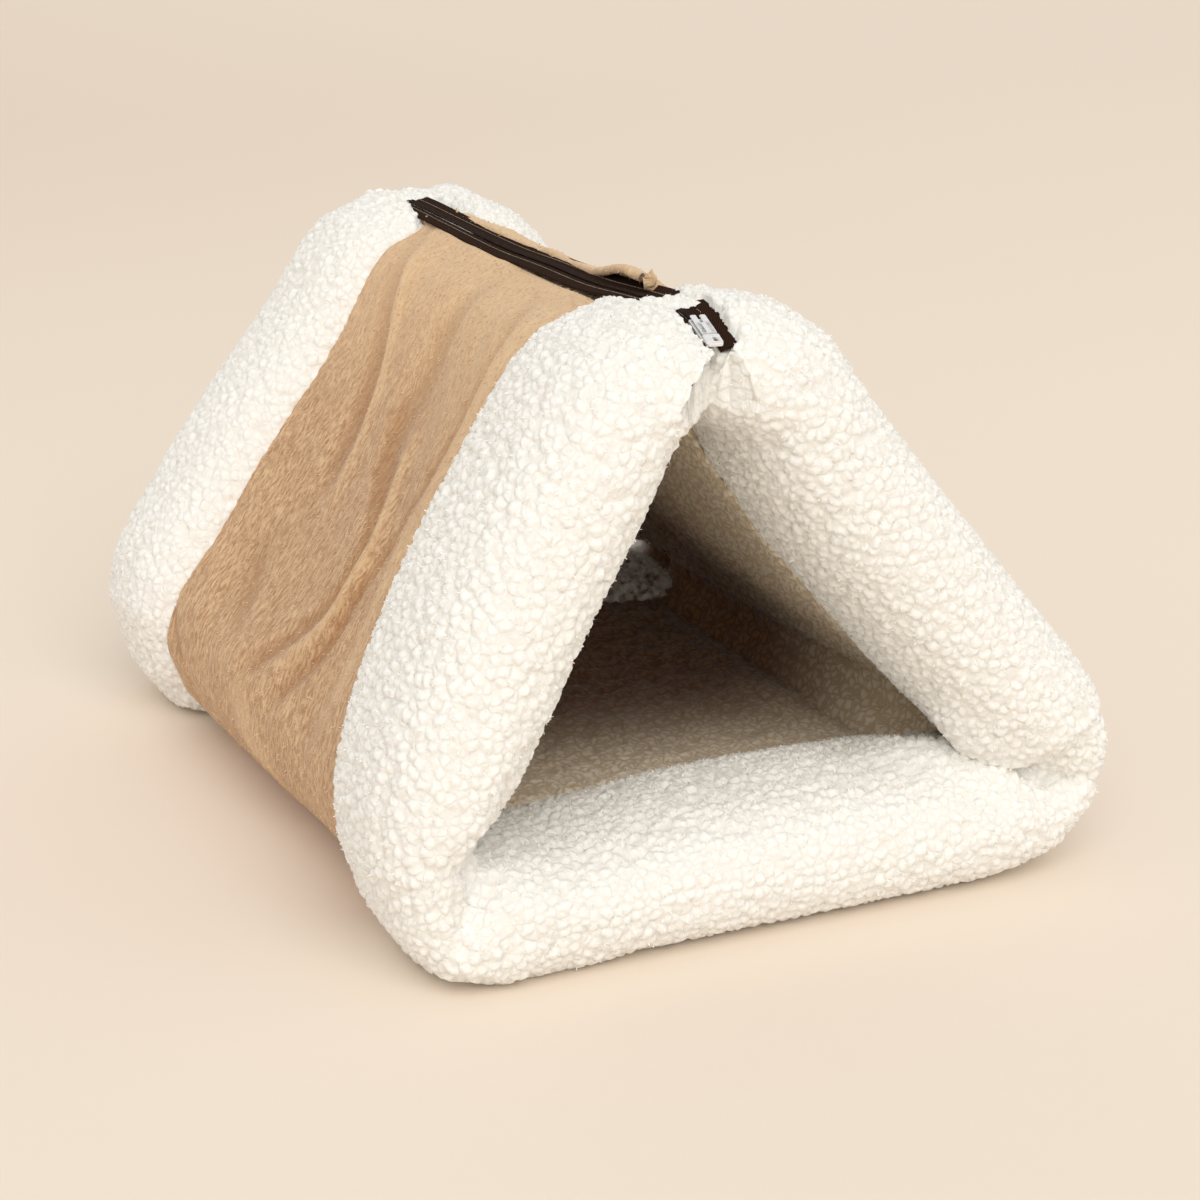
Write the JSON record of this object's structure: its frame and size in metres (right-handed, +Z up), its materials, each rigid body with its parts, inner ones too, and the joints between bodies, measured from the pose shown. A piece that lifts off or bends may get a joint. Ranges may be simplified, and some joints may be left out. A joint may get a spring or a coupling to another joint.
{
  "type": "cat tunnel bed",
  "caption": "Soft padded mat zipped into a three-sided tunnel for a cat, with stuffed fleece borders round both mouths and a plush outer cover.",
  "frame": {"origin": "on the floor below the middle of the bed's bounding box", "axes": "+Y along the tunnel towards the back mouth, +Z up, +X to the right seen from the front mouth, where the zip's slider stops"},
  "size_m": [0.458, 0.572, 0.3466],
  "materials": {
    "fleece": "curly sherpa fleece, off-white",
    "lining_fleece": "curly sherpa fleece, off-white",
    "plush": "short brushed plush, tan",
    "zip_tape": "woven tape, dark brown",
    "zip_teeth": "moulded coil, dark brown",
    "nickel": "polished nickel plate"
  },
  "bodies": {
    "root": {"front_border": "fleece", "back_border": "fleece", "padded_lining": "lining_fleece", "plush_cover": "plush", "zip_tape_left": "zip_tape", "zip_tape_right": "zip_tape", "zip_teeth": "zip_teeth", "zip_slider": "nickel", "zip_pull": "nickel"}
  },
  "joints": []
}
